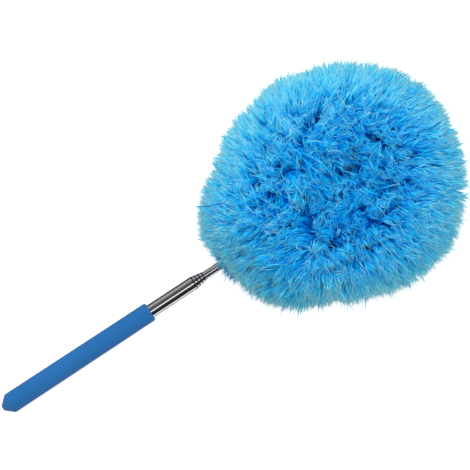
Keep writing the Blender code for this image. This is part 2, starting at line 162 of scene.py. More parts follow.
# Mounds, as (middle, rise, radius)
mounds = (
    ((0.15, 0.045), 0.003, 0.026), ((0.152, 0.01), -0.01, 0.016),
    ((0.045, 0.03), 0.003, 0.022), ((0.125, -0.04), 0.003, 0.02),
)
crease_points = 18
crease_fade_share = 0.04
# Creases, as (places, depth, half width)
creases = (
    (((0.138, 0.016), (0.145, 0.003), (0.151, -0.002), (0.16, 0.002), (0.168, 0.014)), 0.026, 0.0045),
    (((0.098, 0.041), (0.103, 0.04)), 0.022, 0.006),
    (((0.117, 0.047), (0.128, 0.06), (0.14, 0.067), (0.16, 0.075)), 0.014, 0.004),
    (((0.182, 0.034), (0.189, 0.018), (0.19, 0.001)), 0.012, 0.0045),
    (((0.157, -0.021), (0.18, -0.029)), 0.012, 0.004),
    (((0.168, 0.044), (0.177, 0.04)), 0.01, 0.003),
    (((0.131, 0.034), (0.138, 0.031)), 0.008, 0.0035),
    (((0.087, -0.003), (0.082, -0.016), (0.079, -0.031)), 0.01, 0.0045),
    (((0.046, -0.021), (0.054, -0.028)), 0.01, 0.004),
    (((0.098, -0.07), (0.108, -0.078)), 0.01, 0.004),
    (((0.057, 0.034), (0.063, 0.031)), 0.008, 0.004),
)

# Pile of strands: the way it is combed, as (x, y, direction)
combed_strokes = (
    (0.045, 0.052, 85), (0.06, 0.082, 82), (0.076, 0.058, 100), (0.095, 0.085, 87),
    (0.11, 0.066, 105), (0.125, 0.088, 84), (0.14, 0.103, 70), (0.146, 0.073, 25),
    (0.176, 0.078, 30), (0.168, 0.055, 3), (0.207, 0.078, 18), (0.203, 0.04, -5),
    (0.23, 0.012, -20), (0.13, 0.049, -50), (0.15, 0.036, -48), (0.17, 0.024, -65),
    (0.19, 0.01, -82), (0.117, 0.03, -98), (0.137, 0.017, -74), (0.104, 0.01, -92),
    (0.083, 0.024, 150), (0.05, 0.018, 110), (0.178, -0.01, -100), (0.2, -0.024, -45),
    (0.23, -0.055, -48), (0.185, -0.05, -60), (0.15, -0.05, -62), (0.1, -0.016, 192),
    (0.06, -0.015, 198), (0.03, -0.012, 180), (0.045, -0.038, 212), (0.064, -0.052, 228),
    (0.095, -0.055, -76), (0.145, -0.09, -68), (0.185, -0.085, -65),
)
stroke_softness = 0.009
stroke_power = 1.5
flow_scatter = math.radians(27)
centre_scatter = math.radians(20)
centre_x = 0.145
centre_y = 0.025
centre_calm = 0.035

# Pile of strands: how it stands
droop_share = 0.4
rim_droop_share = 1.3
rim_droop_power = 2
lift_inside = math.radians(28)
lift_at_rim = math.radians(50)
lift_scatter = math.radians(10)
tip_unevenness = 0.0022
undercoat_share = 0.20
undercoat_depth = 0.022
middle_distance = 0.038
middle_undercoat_share = 0.5
middle_undercoat_depth = 0.040
root_choice = 0.0012
middle_root_choice = 0.006
root_places = 140
tuft_count = 1100
tuft_pull_share = 0.26
tuft_hollow_share = 0.45
tuft_swerve = 0.22
rim_tuft_share = 0.35
collar_clumps = 250
collar_back = 0.0105
collar_front = 0.004
collar_low = 0.0058
collar_high = 0.025
collar_splay = 0.8
collar_scatter = 0.3
collar_root = 0.010
core_clumps = 260
core_back_x = 0.100
core_front_x = 0.150
core_y = 0.004
core_beyond = 0.034
core_scatter = 0.010
core_low = 0.012
core_high = 0.062
# Painted shade: the clumps in the loop's hollow middle get a darker tone
core_painted_shade = 0.25
loop_start_share = 0.25
root_scatter = 0.006
root_sink = 0.0003
tip_step = 0.00004
least_inward = 0.000001
pile_clumps = 8800
draws_per_tip = 18
draw_margin_share = 1.1
underside_share = 0.27
clumps_per_piece = 740
strands_per_clump = 6
strand_seed = 11

# Strands
strand_rings = 8
strand_sides = 3
strand_radius = 0.00060
strand_radius_spread = 0.25
strand_taper = 0.52
strand_taper_length = 0.018
taper_power = 1.5
strand_spread = 0.0022
strand_tip_spread = 0.0007
rim_spread_share = 1.3
strand_setback = 0.0045
rim_setback = 0.0020
setback_power = 3
strand_turn = 0.16
strand_way_scatter = 0.09
handle_scatter = 0.0010
root_handle_share = 0.34
tip_handle_share = 0.42
tip_handle_least = 0.012
tip_handle_most = 0.026
clump_wave = 0.0012
strand_wave = 0.0006
stray_wave = 0.0034
wave_power = 1.3
wave_rate_least = 2.5
wave_rate_most = 6.5
stray_share = 0.045
stray_beyond = 0.005
clump_tone_share = 0.62
tone_power = 1.5
stray_tone = 0.7
tone_length = 0.045
# Painted light on the rim: strands near the outline are made paler
rim_painted_light = 0.58
rim_painted_light_power = 2
patch_count = 70
patch_radius = 0.013
patch_tone = 0.22
floor_clearance = 0.0006
floor_press_share = 0.02
floor_press_depth = 0.0012

# Long single strands that lie across the pile, as (start, end, bow)
long_locks = (
    ((0.119, 0.052), (0.1315, 0.0285), 0.0015), ((0.1195, 0.051), (0.135, 0.012), 0.002),
    ((0.12, 0.05), (0.1435, 0.0000), 0.0025), ((0.118, 0.051), (0.124, 0.023), -0.001),
    ((0.1175, 0.051), (0.1095, 0.037), -0.001), ((0.12, 0.036), (0.115, 0.0165), -0.0015),
    ((0.16, 0.04), (0.1665, 0.01), -0.002), ((0.182, 0.02), (0.184, 0.002), -0.0015),
    ((0.191, 0.006), (0.19, -0.0115), 0.001), ((0.127, 0.055), (0.143, 0.047), 0.0015),
    ((0.184, 0.0465), (0.199, 0.045), 0.0005), ((0.164, -0.0235), (0.182, -0.029), 0.001),
    ((0.026, 0.052), (0.0035, 0.064), 0.0015), ((0.02, 0.043), (0.003, 0.06), -0.001),
)
lock_strands = 2
lock_scatter = 0.0006
lock_end_scatter = 0.0012
lock_rise = 0.0018
lock_arch = 0.0020
lock_sink = 0.0040
lock_ease_share = 0.3
lock_points = 16
lock_root_points = 8
# Painted highlight: the long strands and curls take a pale tone
lock_highlight_tone = 0.55
lock_radius_share = 0.75

# Curls, as (centre, radius, first angle, sweep) in degrees
curls = (
    ((0.111, 0.052), 0.007, 30, 215), ((0.101, 0.04), 0.0085, -40, 250),
    ((0.097, 0.05), 0.0085, 20, 120), ((0.114, 0.05), 0.0045, 200, 300),
    ((0.029, 0.042), 0.004, 60, 280), ((0.069, -0.027), 0.0035, 0, 280),
)
curl_strands = 2
curl_scatter = 0.0007

# Looks
white = (1.0, 1.0, 1.0)
noise_low_share = 0.3
noise_high_share = 0.7
# Painted shade on the tubes' drawn-in lips
lip_painted_shade = (0.30, 0.30, 0.30)
lip_edge_painted_shade = (0.20, 0.20, 0.20)
thread_rate = 320.0
# Painted highlight: how much only the palest strands take the near-white highlight colours
highlight_power = 4.0
shadow_through_share = 0.90
bake_layer = "OFBake"

# Plain materials, as (name, dark, light, least and most roughness), with a metal's noise rate and stretch
metals = {
    "bronze": ("bronze_rolled", (0.52, 0.33, 0.14), (0.68, 0.47, 0.24), 0.28, 0.45, 240, (1, 1, 1)),
    "steel": ("steel_drawn", (0.44, 0.44, 0.46), (0.60, 0.60, 0.62), 0.28, 0.42, 300, (0.2, 1, 1)),
}
plastics = {
    "white_plastic": ("white_moulding", (0.70, 0.70, 0.67), (0.78, 0.78, 0.75), 0.40, 0.50),
    "black_plastic": ("black_moulding", (0.020, 0.020, 0.022), (0.035, 0.035, 0.038), 0.45, 0.55),
    "blue_plastic": ("blue_moulding", (0.014, 0.17, 0.47), (0.020, 0.21, 0.54), 0.25, 0.35),
}

# Fibre colours from the root, at 0, to the tip, at 1: deep strands, pale ones and painted highlights for
# the palest ones. Every ramp darkens towards the root and pales towards the tip, as painted shade deep in
# the pile and painted light on its outer layer
deep_colours = (
    (0, (0, 0.16, 0.68)), (0.45, (0, 0.262, 0.84)), (0.8, (0, 0.39, 0.94)),
    (0.94, (0.002, 0.44, 0.95)), (1, (0.02, 0.43, 0.88)),
)
pale_colours = (
    (0, (0, 0.28, 0.85)), (0.45, (0, 0.52, 0.98)), (0.75, (0.01, 0.72, 0.99)),
    (0.9, (0.06, 0.78, 0.99)), (1, (0.3, 0.85, 1)),
)
highlight_colours = (
    (0, (0, 0.28, 0.85)), (0.45, (0.006, 0.54, 0.98)), (0.75, (0.07, 0.75, 0.99)),
    (0.9, (0.33, 0.86, 0.99)), (1, (0.66, 0.94, 1)),
)

# Floor and world
floor_half = 12.0
floor_level = -0.0002
floor_tone = (0.82, 0.82, 0.82, 1.0)
floor_glow = 0.66
world_light = 0.57

# Lights, as (name, centre, aim, size, power)
lights = (
    ("key", (0.536, 1.243, 1.734), (0.08, 0, 0.05), (1.6, 0.9), 26.0),
    ("top", (-0.1, 0.25, 2.6), (0.08, 0, 0.05), (2.4, 0.5), 8.0),
    ("fill", (0.90, -1.00, 0.4), (0.16, 0, 0.05), (1.0, 0.5), 2.3),
)

# Cards round the pole, as (name, brightness, lean from the vertical towards +Y, half of the angle it fills)
card_coolness = 1.04
card_distance = 1.85
card_length = 2.2
pole_cards = (
    ("black_card", 0.024, -55.5, 34.5),
    ("grey_card", 0.09, 23.0, 24.5),
    ("light_card", 0.42, 68.5, 21.0),
)

# Other cards, as (name, brightness, centre, size, turn about X, turn about Y)
placed_cards = (
    ("end_card", 0.03, (1.6, 0.1, 1.2), (1.1, 0.8), 0, 53.0),
    ("edge_card", 0.10, (-0.10, 0.455, -0.0001), (0.40, 0.890), 0, 0),
    ("low_card", 0.48, (-0.10, -0.0355, -0.0001), (0.40, 0.055), 0, 0),
)

# Camera, straight above, with the photo's width measured at one height of the object
camera_x = 0.0221
camera_y = 0.0174
camera_height = 4.0
camera_turn = -33.3
camera_reach = 50.0
measured_height = 0.03
photo_width = 0.470


def place(along):
    """X of a place that lies this far from the butt face."""
    return butt_x + along


def unit(vectors):
    """Directions of vectors in rows."""
    return vectors / np.maximum(np.linalg.norm(vectors, axis=-1, keepdims=True), least_length)


def added(name, data):
    """A new object of the scene."""
    obj = bpy.data.objects.new(name, data)
    bpy.context.scene.collection.objects.link(obj)
    return obj


def square_to(vectors, axes):
    """Directions of vectors without the part of each that lies along its axis."""
    return unit(vectors - axes * (vectors * axes).sum(1, keepdims=True))


def scattered(dice, ways, scatter):
    """Directions, each turned a little at random."""
    return unit(ways + dice.normal(0, scatter, ways.shape))


def smooth_mesh(name, verts, faces, used):
    """A smooth-shaded mesh object with sharp edges where its faces turn by more than an angle."""
    mesh = bpy.data.meshes.new(name)
    mesh.from_pydata(verts, [], faces)
    mesh.materials.append(used)
    mesh.shade_smooth()
    mesh.set_sharp_from_angle(angle=math.radians(sharp_angle))
    return added(name, mesh)


def ring_quads(rings, sides):
    """Faces between the rings of a tube, whose corners are counted ring by ring."""
    faces = []
    for row in range(rings - 1):
        for side in range(sides):
            after = (side + 1) % sides
            a, b = row * sides, (row + 1) * sides
            faces.append([a + side, a + after, b + after, b + side])
    return faces


def rounded(corners, steps):
    """Profile points from (along, radius, rounding) corners, each rounding drawn as an arc."""
    points = []
    for index, (along, radius, rounding) in enumerate(corners):
        corner = np.array([along, radius])
        if not rounding:
            points.append(tuple(corner))
            continue
        before = unit(np.array(corners[index - 1][:2]) - corner)
        after = unit(np.array(corners[(index + 1) % len(corners)][:2]) - corner)
        half = math.acos(max(-1.0, min(1.0, float(before @ after)))) / 2
        reach = rounding / math.tan(half)
        centre = corner + unit(before + after) * rounding / math.sin(half)
        start = corner + before * reach - centre
        end = corner + after * reach - centre
        turn = math.atan2(start[0] * end[1] - start[1] * end[0], float(start @ end))
        for step in range(steps + 1):
            c, s = math.cos(turn * step / steps), math.sin(turn * step / steps)
            way = np.array([c * start[0] - s * start[1], s * start[0] + c * start[1]])
            points.append(tuple(centre + way))
    return points


def turned(name, corners, used, body, replaced, sides=turned_sides, steps=arc_steps):
    """A body turned about the pole's axis. Its profile starts and ends on the axis, or else is closed."""
    profile = rounded(corners, steps)
    closed = profile[0][1] > 0
    verts, rings = [], []
    for along, radius in profile:
        if radius <= 0:
            rings.append([len(verts)] * sides)
            verts.append((place(along), 0, axis_height))
            continue
        rings.append(list(range(len(verts), len(verts) + sides)))
        for step in range(sides):
            turn = math.tau * step / sides
            verts.append((place(along), radius * math.sin(turn), axis_height - radius * math.cos(turn)))
    pairs = list(zip(rings, rings[1:]))
    if closed:
        pairs.append((rings[-1], rings[0]))
    faces = []
    for one, two in pairs:
        for step in range(sides):
            after = (step + 1) % sides
            face = [one[step], two[step], two[after], one[after]]
            face = [v for i, v in enumerate(face) if v != face[i - 1]]
            if len(face) > 2:
                faces.append(face)
    obj = smooth_mesh(name, verts, faces, used)
    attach(obj, body)
    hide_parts(replaced)


def radius_of(section):
    """Outer radius of a section's tube."""
    return tube_radius - (tube_wall + bore_clearance) * (section - 1)


def front_of(section):
    """Where a section's tube ends, with the pole pushed in."""
    outer_front = grip_length + outer_tube_show
    if section == section_count:
        return outer_front + mouth_step * (section_count - 2) + thin_tube_show
    return outer_front + mouth_step * (section - 1)


# Materials


def add_node(tree, kind, inputs=(), **settings):
    """A new node with its settings, and its inputs set or linked."""
    node = tree.nodes.new("ShaderNode" + kind)
    for name, value in settings.items():
        setattr(node, name, value)
    for key, value in dict(inputs).items():
        if isinstance(value, bpy.types.NodeSocket):
            tree.links.new(value, node.inputs[key])
        else:
            node.inputs[key].default_value = value
    return node


def maths(tree, operation, one, two):
    """The result of one operation on two values."""
    return add_node(tree, "Math", {0: one, 1: two}, operation=operation).outputs[0]


class Nodes:
    """A Principled material and short ways to add nodes to it."""

    def __init__(self, name, roughness=0.5, metallic=0.0):
        self.material = bpy.data.materials.new(name)
        self.material.use_nodes = True
        self.tree = self.material.node_tree
        self.shader = self.tree.nodes["Principled BSDF"]
        self.set("Roughness", roughness)
        self.set("Metallic", metallic)
        self.where = self.add("TexCoord").outputs["Object"]

    def set(self, socket, value):
        """Sets a constant on the shader."""
        self.shader.inputs[socket].default_value = value

    def link(self, output, socket):
        """Joins an output to a socket of the shader."""
        self.tree.links.new(output, self.shader.inputs[socket])

    def add(self, kind, inputs=(), **settings):
        """A new node of this material."""
        return add_node(self.tree, kind, inputs, **settings)

    def surface(self, node):
        """Shows a node's shader instead of the Principled one alone."""
        self.tree.links.new(node.outputs[0], self.tree.nodes["Material Output"].inputs["Surface"])

    def noise(self, scale, stretch=(1, 1, 1), detail=4.0):
        """Noise in metres, stretched along the axes."""
        mapped = self.add("Mapping", {"Vector": self.where, "Scale": stretch})
        inputs = {"Vector": mapped.outputs[0], "Scale": scale, "Detail": detail}
        return self.add("TexNoise", inputs).outputs["Fac"]

    def ramp(self, value, stops):
        """A colour for a value, from (position, colour) stops."""
        node = self.add("ValToRGB", {"Fac": value})
        elements = node.color_ramp.elements
        while len(elements) < len(stops):
            elements.new(0.5)
        for element, (position, colour) in zip(elements, stops):
            element.position = position
            element.color = (*colour, 1.0)
        return node.outputs["Color"]

    def tones(self, value, dark, light):
        """A colour that goes from dark to light as a noise rises."""
        return self.ramp(value, [(noise_low_share, dark), (noise_high_share, light)])

    def mixed(self, one, two, share, how="MIX"):
        """Two colours mixed by a share."""
        inputs = {"Factor": share, "A": one, "B": two}
        return self.add("Mix", inputs, data_type="RGBA", blend_type=how).outputs["Result"]

    def span(self, value, low, high):
        """A value from 0 to 1 brought to a range."""
        return self.add("MapRange", {"Value": value, "To Min": low, "To Max": high}).outputs["Result"]

    def bump(self, height, distance, strength):
        """Adds a bump of a height in metres."""
        node = self.add("Bump", {"Height": height, "Distance": distance, "Strength": strength})
        self.link(node.outputs["Normal"], "Normal")


def grip_material():
    """Soft-touch rubber: smooth and matte, with a fine grain and faint handling marks."""
    m = Nodes("grip_soft_touch")
    tone = m.noise(scale=38, stretch=(0.35, 1, 1), detail=5)
    m.link(m.tones(tone, dark=(0.012, 0.138, 0.40), light=(0.016, 0.158, 0.44)), "Base Color")
    m.link(m.span(m.noise(scale=90, detail=3), low=0.50, high=0.62), "Roughness")
    m.set("Specular IOR Level", 0.25)
    m.set("Sheen Weight", 0.05)
    m.set("Sheen Roughness", 0.5)
    m.bump(m.noise(scale=2600, detail=2), distance=0.00003, strength=0.6)
    return m.material


def chrome_material(name="chrome_plate", front=None):
    """Bright plated tube with faint drawing lines, and painted shade on the lip where its front is drawn
    in.
    """
    m = Nodes(name, metallic=1.0)
    lines = m.noise(scale=900, stretch=(0.004, 1, 1), detail=3)
    plate = m.tones(lines, dark=(0.68, 0.68, 0.70), light=(0.84, 0.84, 0.86))
    m.link(m.span(lines, low=0.05, high=0.13), "Roughness")
    m.bump(lines, distance=0.000004, strength=0.5)
    # Painted shade: the plate darkens to a dark grey over the lip at the front
    if front is not None:
        across = m.add("SeparateXYZ", {"Vector": m.where}).outputs["X"]
        start = place(front - lip_fade)
        along = m.add("MapRange", {"Value": across, "From Min": start, "From Max": start + lip_fade})
        bright_share = 1 - (lip_length + lip_blend) / lip_fade
        painted_shade_share = 1 - lip_length / lip_fade
        stops = [(0.0, white), (bright_share, white), (painted_shade_share, lip_painted_shade), (1.0, lip_edge_painted_shade)]
        plate = m.mixed(plate, m.ramp(along.outputs["Result"], stops), 1.0, "MULTIPLY")
    m.link(plate, "Base Color")
    return m.material


def metal_material(name, dark, light, smooth, rough, scale, stretch):
    """Plain metal with a slightly uneven tone, rougher where it is lighter."""
    m = Nodes(name, metallic=1.0)
    tone = m.noise(scale, stretch)
    m.link(m.tones(tone, dark, light), "Base Color")
    m.link(m.span(tone, smooth, rough), "Roughness")
    return m.material


def plastic_material(name, dark, light, smooth, rough):
    """Moulded plastic with a fine even grain."""
    m = Nodes(name)
    tone = m.noise(scale=120, detail=3)
    m.link(m.tones(tone, dark, light), "Base Color")
    m.link(m.span(tone, smooth, rough), "Roughness")
    m.bump(m.noise(scale=3000, detail=2), distance=0.00001, strength=0.4)
    return m.material


def backing_material():
    """Woven backing of the pile: two sets of threads in a deep blue."""
    m = Nodes("backing_weave", roughness=0.9)
    threads = []
    for direction in ("X", "Y"):
        inputs = {"Vector": m.where, "Scale": thread_rate}
        threads.append(m.add("TexWave", inputs, bands_direction=direction).outputs["Fac"])
    height = maths(m.tree, "MULTIPLY", *threads)
    m.link(m.ramp(height, [(0.0, (0.004, 0.05, 0.18)), (1.0, (0.012, 0.14, 0.40))]), "Base Color")
    m.bump(height, distance=0.0003, strength=0.8)
    return m.material


def fibre_material():
    """Microfibre with painted shade towards the root, painted light towards the tip and painted highlights
    on the palest strands, and a tone of its own in each strand.
    """
    m = Nodes("microfibre", roughness=0.55)
    uv = m.add("UVMap", uv_map=bake_layer).outputs["UV"]
    parts = m.add("SeparateXYZ", {"Vector": uv})
    tone, along = parts.outputs["X"], parts.outputs["Y"]
    # Painted shade and light: each ramp is darker at the root and paler at the tip
    colour = m.mixed(m.ramp(along, deep_colours), m.ramp(along, pale_colours), tone)
    # Painted highlight: the palest strands mix towards near-white at their tips
    highlight_share = maths(m.tree, "POWER", tone, highlight_power)
    m.link(m.mixed(colour, m.ramp(along, highlight_colours), highlight_share), "Base Color")
    m.set("Specular IOR Level", 0.0)
    m.set("Sheen Weight", 0.02)
    m.set("Sheen Roughness", 0.4)
    m.set("Sheen Tint", (0.35, 0.85, 1.0, 1.0))
    through = m.add("BsdfTransparent", {"Color": (0.08, 0.78, 1.0, 1.0)})
    shadow_ray = m.add("LightPath").outputs["Is Shadow Ray"]
    share = maths(m.tree, "MULTIPLY", shadow_ray, shadow_through_share)
    m.surface(m.add("MixShader", {0: share, 1: m.shader.outputs[0], 2: through.outputs[0]}))
    return m.material


looks = {"grip_blue": grip_material(), "chrome": chrome_material(), "fibre_blue": fibre_material()}
for slot, values in metals.items():
    looks[slot] = metal_material(*values)
for slot, values in plastics.items():
    looks[slot] = plastic_material(*values)
backing_look = backing_material()
tube_looks = {n: chrome_material(f"chrome_plate_{n}", front_of(n)) for n in range(1, section_count)}
tube_looks[section_count] = looks["chrome"]

for part in frame["record"]["subparts"]:
    shown = frame["nodes"][part["node"]]
    shown.data.materials.clear()
    shown.data.materials.append(looks[part["material_slot"]])


# Pole


def mouth(section):
    """The drawn-in mouth of a tube, from its full outer radius round the lip to its bore."""
    front = front_of(section)
    outside = radius_of(section)
    guide = radius_of(section + 1) + mouth_clearance
    start = front - mouth_arc_radius * math.sin(math.radians(mouth_arc_angle))
    arc = []
    for step in range(mouth_arc_steps + 1):
        turn = math.radians(mouth_arc_angle) * step / mouth_arc_steps
        drop = mouth_arc_radius * (1 - math.cos(turn))
        arc.append((start + mouth_arc_radius * math.sin(turn), outside - drop, 0))
    arc[-1] = (front, arc[-1][1], mouth_rounding)
    return arc + [
        (front, guide, mouth_rounding),
        (front - mouth_length, guide, 0),
        (front - mouth_length - mouth_slope, outside - tube_wall, 0),
    ]


def soft_grip():
    """The grip: a sleeve with a closed conical end."""
    bore = tube_radius + grip_bore_clearance
    corners = [
        (0, 0, 0),
        (0, grip_tip_radius, grip_tip_rounding),
        (grip_cone_length, grip_butt_radius, grip_shoulder_rounding),
        (grip_length, grip_front_radius, grip_front_rounding),
        (grip_length, bore, grip_mouth_rounding),
        (grip_end_wall, bore, 0),
        (grip_end_wall, 0, 0),
    ]
    look = looks["grip_blue"]
    turned("soft_grip", corners, look, "handle", "grip_sleeve", grip_sides, grip_arc_steps)


def outer_tube():
    """The tube that is fixed in the grip."""
    tail = [(outer_tail, tube_radius - tube_wall, 0), (outer_tail, tube_radius, 0)]
    turned("outer_chrome_tube", tail + mouth(1), tube_looks[1], "handle", "outer_tube")


def sliding_tube(section):
    """A sliding tube, narrower at its tail, with a drawn-in mouth on all but the last."""
    outside = radius_of(section)
    inside = outside - tube_wall
    start = first_tail + tail_pitch * (section - 2)
    shoulder = start + tail_length
    front = [(front_of(section), outside, mouth_rounding), (front_of(section), inside, mouth_rounding)]
    if section < section_count:
        front = mouth(section)
    corners = [
        (start, inside - tail_drop, 0),
        (start, outside - tail_drop, 0),
        (shoulder, outside - tail_drop, 0),
        (shoulder + tail_slope, outside, 0),
        *front,
        (shoulder + tail_slope, inside, 0),
        (shoulder, inside - tail_drop, 0),
    ]
    name = f"chrome_tube_{section}"
    turned(name, corners, tube_looks[section], f"section_{section}", f"tube_{section}")


def ferrule():
    """The ferrule: a pocket for the nut, a collar, finger ribs and the cup round the wire's root."""
    start = front_of(section_count) + ferrule_end_gap
    end = start + ferrule_length
    shoulder = start + ferrule_collar_length
    ribs = []
    for rib in range(ferrule_ribs):
        for ahead, sunk in rib_outline_shares:
            along = shoulder + (rib_lead_share + rib + ahead) * ferrule_rib_pitch
            ribs.append((along, ferrule_radius - sunk * ferrule_rib_depth, ferrule_rib_depth / 2))
    bowl = []
    for step in range(bowl_steps):
        turn = math.pi / 2 * step / bowl_steps
        bowl.append((end - neck_cup_radius * math.sin(turn), neck_cup_radius * math.cos(turn), 0))
    corners = [
        (start + nut_pocket_depth, 0, 0),
        (start + nut_pocket_depth, nut_pocket_radius, 0),
        (start, nut_pocket_radius, 0),
        (start, ferrule_collar_radius, ferrule_rib_depth),
        (shoulder, ferrule_collar_radius, 0),
        (shoulder, ferrule_radius, ferrule_rib_depth),
        *ribs,
        (end, ferrule_radius, ferrule_rounding),
        *bowl,
        (end - neck_cup_radius, 0, 0),
    ]
    turned("blue_ferrule", corners, looks["blue_plastic"], "section_5", "head_ferrule")


soft_grip()
outer_tube()
for section in range(2, section_count + 1):
    sliding_tube(section)
ferrule()


# Spine


def curved(root, one, two, tip, t):
    """Points of curves from roots to tips, each with two handles."""
    early = root[:, None] * (1 - t) ** 3 + one[:, None] * 3 * t * (1 - t) ** 2
    return early + two[:, None] * 3 * t**2 * (1 - t) + tip[:, None] * t**3


def on_loop(angle):
    """Points of the head's loop. The angle starts at the side that faces the pole."""
    turn = np.radians(angle)
    x = loop_centre_x - loop_half_length * np.cos(turn)
    y = loop_half_width * np.sin(turn)
    return np.stack([x, y, np.full_like(x, loop_height)], axis=-1)


def spine_line():
    """Close points of the spine, from the neck's pivot through the rise to the loop's free end."""
    start = np.array([[neck_x, 0, axis_height]])
    join, beyond = on_loop(np.array([[loop_join_angle], [loop_join_angle + small_turn]]))
    first = start + np.array([neck_handle, 0, 0])
    second = join - unit(beyond - join) * join_handle
    t = np.linspace(0, 1, rise_points, endpoint=False)[:, None]
    rise = curved(start, first, second, join, t)[0]
    return np.concatenate([rise, on_loop(np.linspace(loop_join_angle, loop_end_angle, loop_points))])


spine = spine_line()
spine_reach = np.concatenate([[0], np.cumsum(np.linalg.norm(np.diff(spine, axis=0), axis=1))])
spine_length = spine_reach[-1]
cover_end = spine_length - cover_end_margin
cover_length = (cover_end - cover_start) / cover_count


def on_spine(reach):
    """Points of the spine this far along it."""
    return np.stack([np.interp(reach, spine_reach, spine[:, axis]) for axis in range(3)], axis=-1)


def along_spine(reach):
    """Points of the spine this far along it, with the directions ahead, outward from the loop, and up."""
    ahead = unit(on_spine(reach + spine_step) - on_spine(reach - spine_step))
    outward = unit(np.cross(ahead, np.array([0, 0, 1.0])) * -1)
    return on_spine(reach), ahead, outward, unit(np.cross(ahead, outward) * -1)


def woven_backing(cover):
    """The woven backing of one cover: a closed tube round the spine."""
    first = cover_start + cover * cover_length + cover_gap / 2
    reach = np.linspace(first, first + cover_length - cover_gap, backing_rows)
    point, _, outward, upward = along_spine(reach)
    turn = np.linspace(0, math.tau, backing_sides, endpoint=False)
    ring = outward[:, None] * np.cos(turn)[None, :, None] + upward[:, None] * np.sin(turn)[None, :, None]
    verts = (point[:, None] + ring * backing_radius).reshape(-1, 3)
    faces = ring_quads(backing_rows, backing_sides)
    faces.append(list(range(backing_sides))[::-1])
    faces.append([(backing_rows - 1) * backing_sides + side for side in range(backing_sides)])
    return smooth_mesh(f"woven_backing_{cover + 1}", verts.tolist(), faces, backing_look)


for cover in range(cover_count):
    backing = woven_backing(cover)
    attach(backing, "head")


# Pile


def outline_level(x, y):
    """How far places lie towards the head's outline, seen from above: 1 on it."""
    half_length = np.where(x < loop_centre_x, outline_back_length, outline_front_length)
    round_level = np.hypot((x - loop_centre_x) / half_length, (y - outline_centre_y) / outline_half_width)
    blunt_level = np.clip(1 - (x - outline_back_x) * rim_share / pile_reach, 0, None)
    level = (round_level**outline_power + blunt_level**outline_power) ** (1 / outline_power)
    turn = np.degrees(np.arctan2(y - outline_centre_y, x - loop_centre_x))
    wave = np.zeros_like(x)
    for middle, change, half_angle in outline_waves:
        away = (turn - middle + 180) % 360 - 180
        wave += change / outline_front_length * np.exp(-((away / half_angle) ** 2))
    return level / (1 + wave)


def crown(level):
    """The pile's rounded rise from its outline, at 0, to the crest above the spine, at 1."""
    inward = np.clip((1 - level) / rim_share, 0, 1)
    return (1 - (1 - inward) ** crown_power) ** (1 / crown_power)


def crease_depth(x, y):
    """Depth of the creases, each drawn through its places and fading at its ends."""
    depth = np.zeros_like(x)
    for places, deep, width in creases:
        points = np.array(places)
        share = np.linspace(0, 1, crease_points)
        own = np.linspace(0, 1, len(points))
        line_x = np.interp(share, own, points[:, 0])
        line_y = np.interp(share, own, points[:, 1])
        fade = np.sqrt(np.sin(math.pi * np.clip(share, crease_fade_share, 1 - crease_fade_share)))
        away = np.hypot(x[..., None] - line_x, y[..., None] - line_y)
        depth = np.maximum(depth, deep * (fade * np.exp(-((away / width) ** 2))).max(-1))
    return depth


def top_height(x, y):
    """Height of the pile's upper side."""
    rise = crown(outline_level(x, y))
    mound = np.zeros_like(x)
    for (middle_x, middle_y), change, radius in mounds:
        mound += change * np.exp(-((np.hypot(x - middle_x, y - middle_y) / radius) ** mound_power))
    return widest_height + (crest_height - widest_height) * rise + (mound - crease_depth(x, y)) * rise


def low_height(x, y):
    """Height of the pile's underside, pressed flat where it meets the floor."""
    return np.maximum(floor_clearance, widest_height - pile_reach * crown(outline_level(x, y)))


def slope(height, x, y):
    """Rise of a surface along X and along Y."""
    along_x = (height(x + tip_step, y) - height(x - tip_step, y)) / (2 * tip_step)
    along_y = (height(x, y + tip_step) - height(x, y - tip_step)) / (2 * tip_step)
    return along_x, along_y


def chosen_tips(dice, height, side, count):
    """Even tips over one side of the pile, with the normal and the share of the way in to the crest."""
    draws = count * draws_per_tip
    x = dice.uniform(outline_back_x, loop_centre_x + outline_front_length * draw_margin_share, draws)
    y = outline_centre_y + dice.uniform(-outline_half_width, outline_half_width, draws) * draw_margin_share
    inward = np.clip((1 - outline_level(x, y)) / rim_share, least_inward, 1)
    crowded = inward ** (crown_power - 1)
    outward = (1 - rim_share * inward * crowded) / (1 - rim_share * inward)
    x = loop_centre_x + (x - loop_centre_x) * outward
    y = outline_centre_y + (y - outline_centre_y) * outward
    level = outline_level(x, y)
    along_x, along_y = slope(height, x, y)
    thinned = np.where(inward < 1, crown_power * crowded, 1)
    weight = np.sqrt(1 + along_x**2 + along_y**2) * thinned * (level < 1 - least_inward)
    kept = dice.choice(draws, count, replace=False, p=weight / weight.sum())
    x, y, level, along_x, along_y = (a[kept] for a in (x, y, level, along_x, along_y))
    normal = unit(np.stack([-along_x, -along_y, np.ones_like(x)], axis=-1)) * side
    tips = np.stack([x, y, height(x, y)], axis=-1)
    return tips, normal, np.clip((1 - level) / rim_share, 0, 1)


def turned_about_z(vectors, angle):
    """Vectors turned about the vertical."""
    c, s = np.cos(angle), np.sin(angle)
    x, y, z = vectors[:, 0], vectors[:, 1], vectors[:, 2]
    return np.stack([c * x - s * y, s * x + c * y, z], axis=-1)


def combed_way(tips):
    """The level way that strands lie at some places, blended from the strokes around them."""
    way = np.zeros_like(tips)
    for x, y, turn in combed_strokes:
        away = (tips[:, 0] - x) ** 2 + (tips[:, 1] - y) ** 2
        near = (away + stroke_softness**2) ** -stroke_power
        way[:, 0] += near * math.cos(math.radians(turn))
        way[:, 1] += near * math.sin(math.radians(turn))
    return unit(way)


